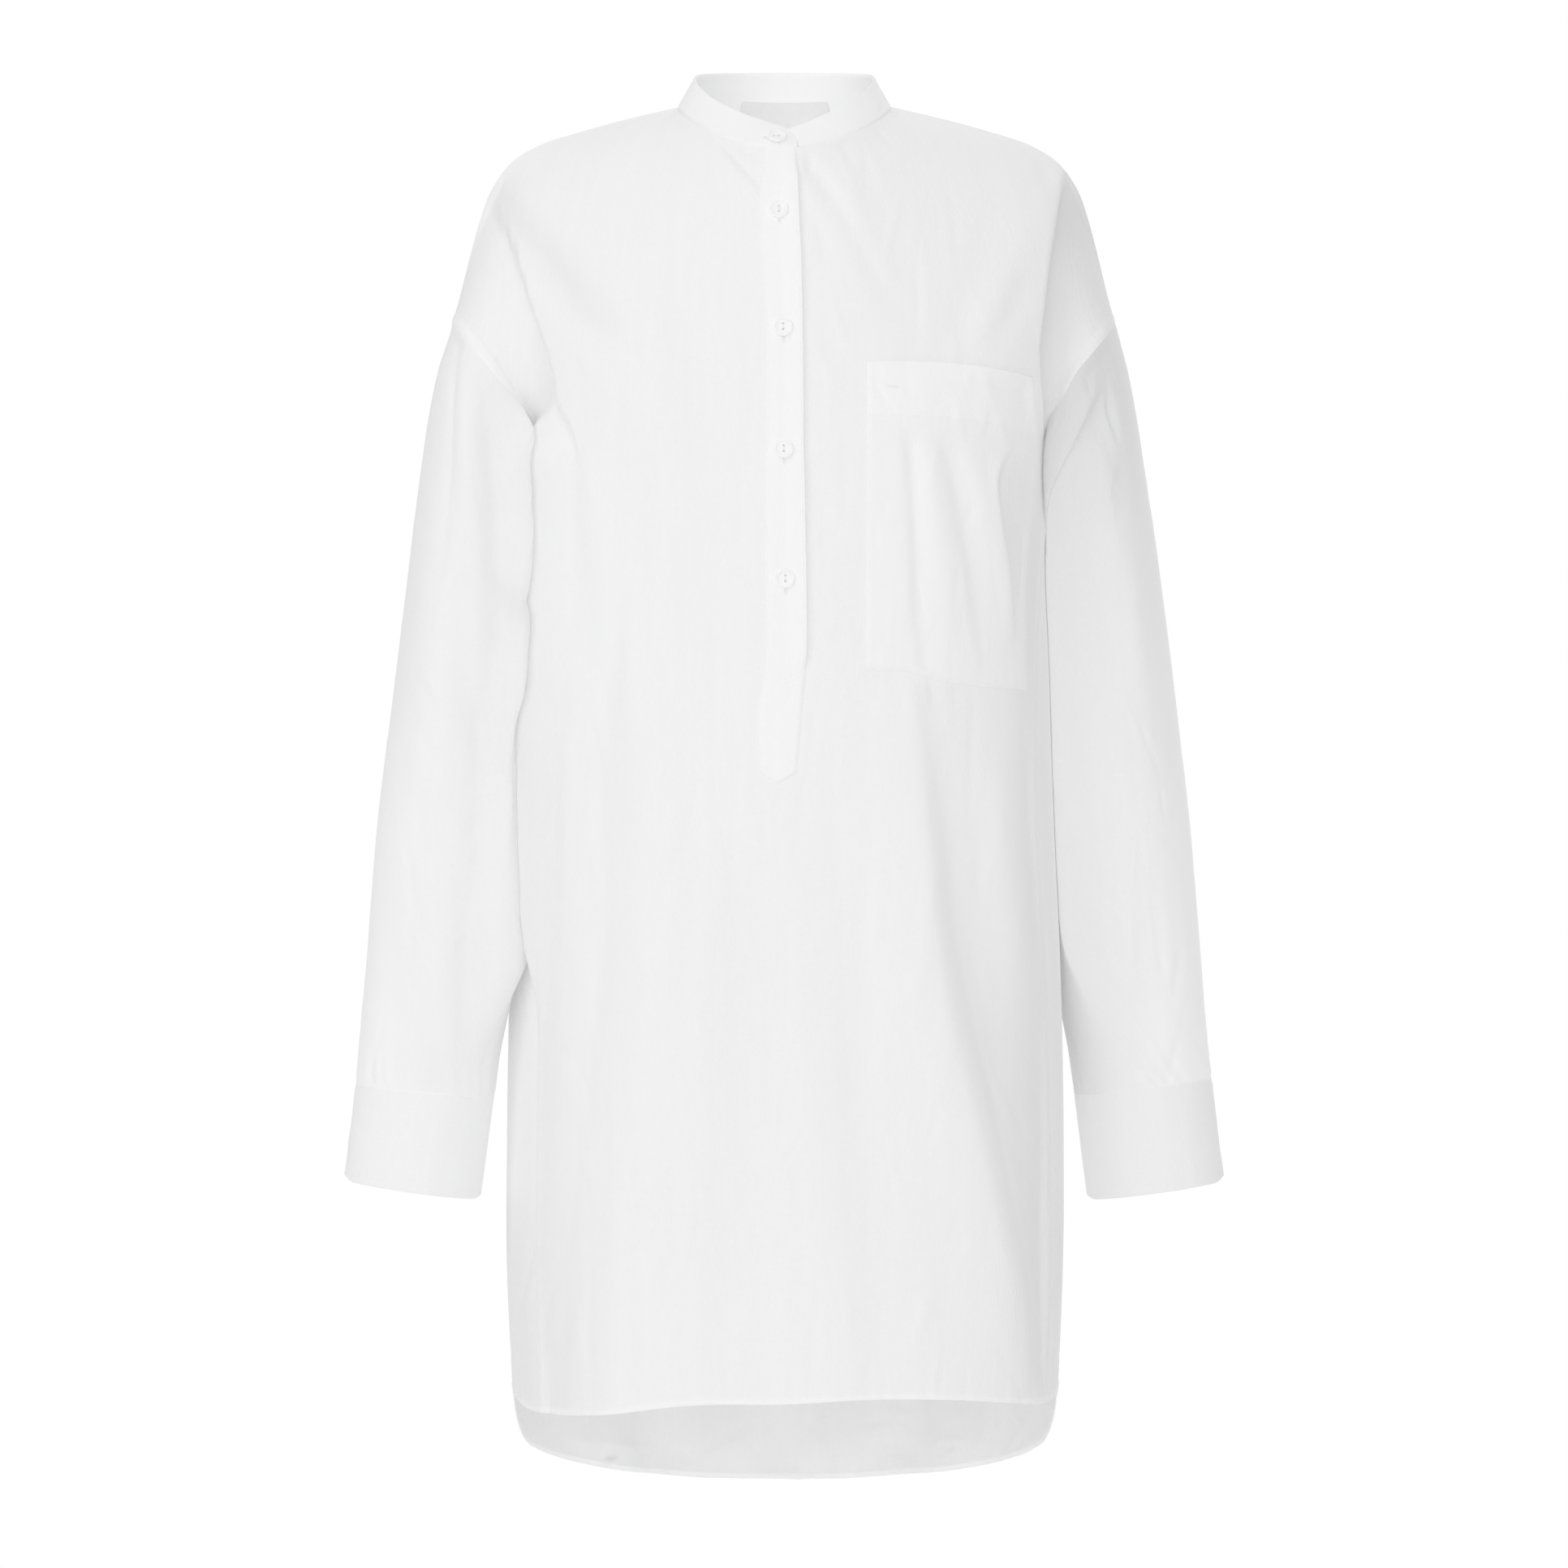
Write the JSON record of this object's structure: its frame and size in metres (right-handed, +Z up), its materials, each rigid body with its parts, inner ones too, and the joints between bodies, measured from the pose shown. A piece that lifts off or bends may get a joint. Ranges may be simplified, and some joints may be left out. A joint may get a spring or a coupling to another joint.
{
  "type": "shirt dress",
  "caption": "Long-sleeved cotton-poplin shirt dress with a band collar, buttoned half placket, patch pocket, deep cuffs and a hem that is longer behind, filled out with no wearer.",
  "frame": {"origin": "middle of the neck opening, level with the side neck points, where the wearer's shoulders hold the dress", "axes": "+Z up, the front faces -Y, +X towards the wearer's left"},
  "size_m": [0.5937, 0.2679, 0.9787],
  "materials": {
    "poplin": "matte white cotton poplin, one layer",
    "poplin_doubled": "matte white cotton poplin, two or more layers",
    "label_tape": "plain woven tape",
    "button_resin": "satin white resin"
  },
  "bodies": {
    "root": {"front": "poplin", "back": "poplin", "sleeve_right": "poplin", "sleeve_left": "poplin", "cuff_right": "poplin_doubled", "cuff_left": "poplin_doubled", "collar_band": "poplin_doubled", "placket_top": "poplin_doubled", "placket_under": "poplin_doubled", "pocket": "poplin_doubled", "neck_label": "label_tape", "button_collar": "button_resin", "button_1": "button_resin", "button_2": "button_resin", "button_3": "button_resin", "button_4": "button_resin", "button_cuff_right": "button_resin", "button_cuff_left": "button_resin"}
  },
  "joints": []
}
